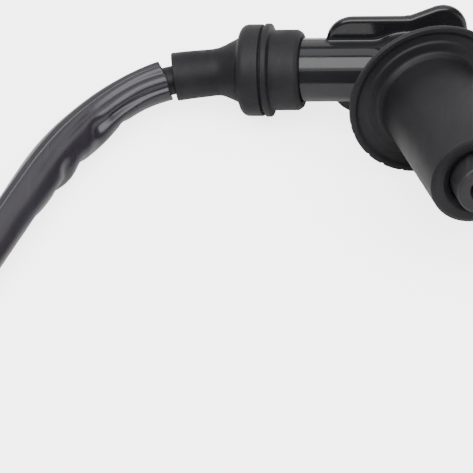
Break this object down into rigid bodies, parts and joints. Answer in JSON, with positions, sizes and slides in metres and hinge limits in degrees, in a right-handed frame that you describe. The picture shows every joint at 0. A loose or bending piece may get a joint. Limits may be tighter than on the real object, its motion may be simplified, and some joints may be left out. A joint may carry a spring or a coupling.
{
  "type": "ignition coil",
  "caption": "Potted ignition coil on a laminated core with two mounting ears, joined by a sleeved high-tension lead to an elbow spark-plug cap with a flanged rubber boot.",
  "frame": {"origin": "middle of the two mounting holes, on the face that bolts down; everything lies on a surface 8 mm below it", "axes": "+Z along the mounting holes, +Y along the coil's core towards the cap end, -X is where the lead leaves the coil"},
  "size_m": [0.1469, 0.2195, 0.0405],
  "materials": {
    "core_steel": "grey varnished lamination edges",
    "zinc_steel": "dull zinc plate",
    "case_plastic": "black glass-filled nylon, fine moulded grain",
    "resin": "cured black epoxy",
    "bobbin_plastic": "natural nylon",
    "enamelled_wire": "enamelled copper, semi-gloss",
    "terminal_brass": "tinned brass",
    "contact_brass": "bright brass",
    "spring_steel": "bright spring steel",
    "lead_rubber": "black high-voltage lead, matt",
    "tinned_core": "stranded tinned copper",
    "sheath_vinyl": "semi-gloss black vinyl sleeve",
    "seal_rubber": "matt moulded rubber",
    "relief_rubber": "matt moulded rubber",
    "cap_plastic": "polished black phenolic",
    "snout_plastic": "satin black phenolic",
    "ceramic": "unglazed white ceramic",
    "boot_rubber": "matt moulded rubber"
  },
  "bodies": {
    "coil": {"core_laminations": "core_steel", "core_eyelets": "zinc_steel", "coil_case": "case_plastic", "potting_resin": "resin", "primary_bobbin": "bobbin_plastic", "primary_winding": "enamelled_wire", "secondary_bobbin": "bobbin_plastic", "secondary_windings": "enamelled_wire", "signal_terminal": "terminal_brass", "ground_terminal": "terminal_brass", "primary_wires": "enamelled_wire", "secondary_wire": "enamelled_wire", "ht_output_pin": "contact_brass", "tower_relief": "relief_rubber", "ht_lead_jacket": "lead_rubber", "ht_lead_core": "tinned_core", "lead_sheath": "sheath_vinyl"},
    "cap": {"lead_seal": "seal_rubber", "cap_body": "cap_plastic", "cable_screw": "contact_brass", "corner_contact": "contact_brass", "contact_springs": "spring_steel", "resistor_body": "ceramic", "resistor_caps": "zinc_steel", "snout_tube": "snout_plastic", "terminal_socket": "contact_brass", "terminal_clip": "spring_steel"},
    "boot": {"plug_boot": "boot_rubber"}
  },
  "joints": [
    {"name": "cap_turn", "type": "hinge", "parent": "coil", "child": "cap", "pos_m": [0.008, 0.168, 0.00825], "axis": [0.9861, -0.108, 0.1261], "range_deg": [-90, 90], "deforming": ["lead_seal"]},
    {"name": "boot_pull", "type": "slide", "parent": "cap", "child": "boot", "axis": [0.287, -0.9239, 0.253], "range_m": [0, 0.05]}
  ]
}
